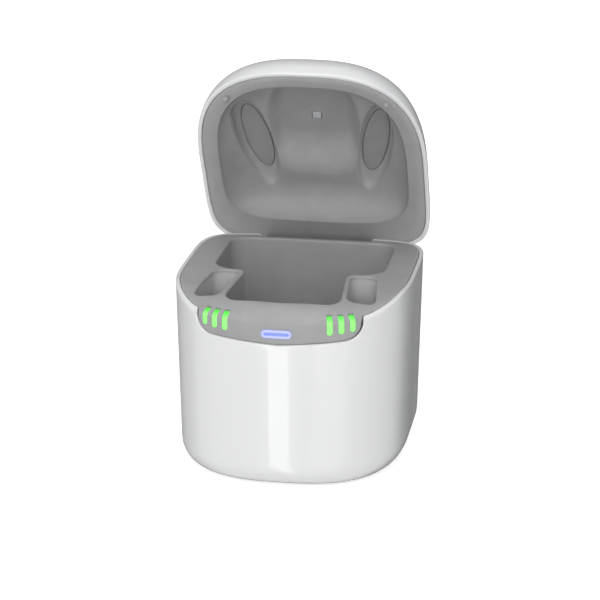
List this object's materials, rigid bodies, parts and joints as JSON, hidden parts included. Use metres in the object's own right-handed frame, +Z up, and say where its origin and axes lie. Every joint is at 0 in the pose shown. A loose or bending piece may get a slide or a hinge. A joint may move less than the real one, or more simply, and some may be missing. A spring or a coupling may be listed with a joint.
{
  "type": "hearing aid dryer",
  "caption": "Rounded cup with a hinged dome lid, a deep drying well, slots for hearing aids, lit status bars, a push button and a warm-air fan under the well.",
  "frame": {"origin": "middle of the outline, on the surface that the feet stand on", "axes": "+X to the right seen from the front, +Y to the back where the hinge is, +Z up"},
  "size_m": [0.0786, 0.1019, 0.1303],
  "materials": {
    "white_shell": "gloss",
    "grey_satin": "satin",
    "grey_cover": "matte",
    "grey_rubber": "matte",
    "grey_pad": "matte",
    "green_lit": "lit from behind",
    "blue_lit": "lit from behind",
    "pale_button": "satin",
    "white_lamp": "matte",
    "circuit_board": "satin",
    "black_plastic": "matte",
    "fan_plastic": "satin",
    "copper_wire": "lacquered wire",
    "bare_aluminium": "bare",
    "steel": "plain",
    "bronze": "sintered",
    "clear_window": "clear"
  },
  "bodies": {
    "cup": {"base_shell": "white_shell", "bottom_cover": "grey_cover", "rubber_feet": "grey_rubber", "cover_screws": "steel", "deck_tray": "grey_satin", "left_light_guide": "green_lit", "right_light_guide": "green_lit", "status_leds": "white_lamp", "status_light_boards": "circuit_board", "button_switch": "black_plastic", "switch_board": "circuit_board", "left_charging_coil": "copper_wire", "right_charging_coil": "copper_wire", "heater": "bare_aluminium", "fan_frame": "black_plastic", "main_board": "circuit_board", "board_chips": "black_plastic", "board_screws": "steel", "power_inlet": "steel", "catch_magnets": "steel", "hinge_pin": "steel"},
    "lid": {"lid_shell": "white_shell", "lid_liner": "grey_satin", "left_pocket_pad": "grey_pad", "right_pocket_pad": "grey_pad", "uv_window": "clear_window", "uv_led": "white_lamp", "uv_board": "circuit_board", "lid_stops": "grey_rubber", "lid_magnets": "steel", "hinge_bushings": "bronze"},
    "button": {"power_button": "pale_button", "button_light_bar": "blue_lit"},
    "fan": {"fan_rotor": "fan_plastic"}
  },
  "joints": [
    {"name": "lid_hinge", "type": "hinge", "parent": "cup", "child": "lid", "pos_m": [0, 0.02992, 0.0515], "axis": [1, 0, 0], "range_deg": [0, 60]},
    {"name": "button_press", "type": "slide", "parent": "cup", "child": "button", "axis": [0, 1, 0], "range_m": [0, 0.0005], "stiffness_N_per_m": 1500, "springref_m": -0.0005},
    {"name": "fan_spin", "type": "hinge", "parent": "cup", "child": "fan", "pos_m": [0, -0.01083, 0.0141], "axis": [0, 0, 1], "continuous": true}
  ]
}
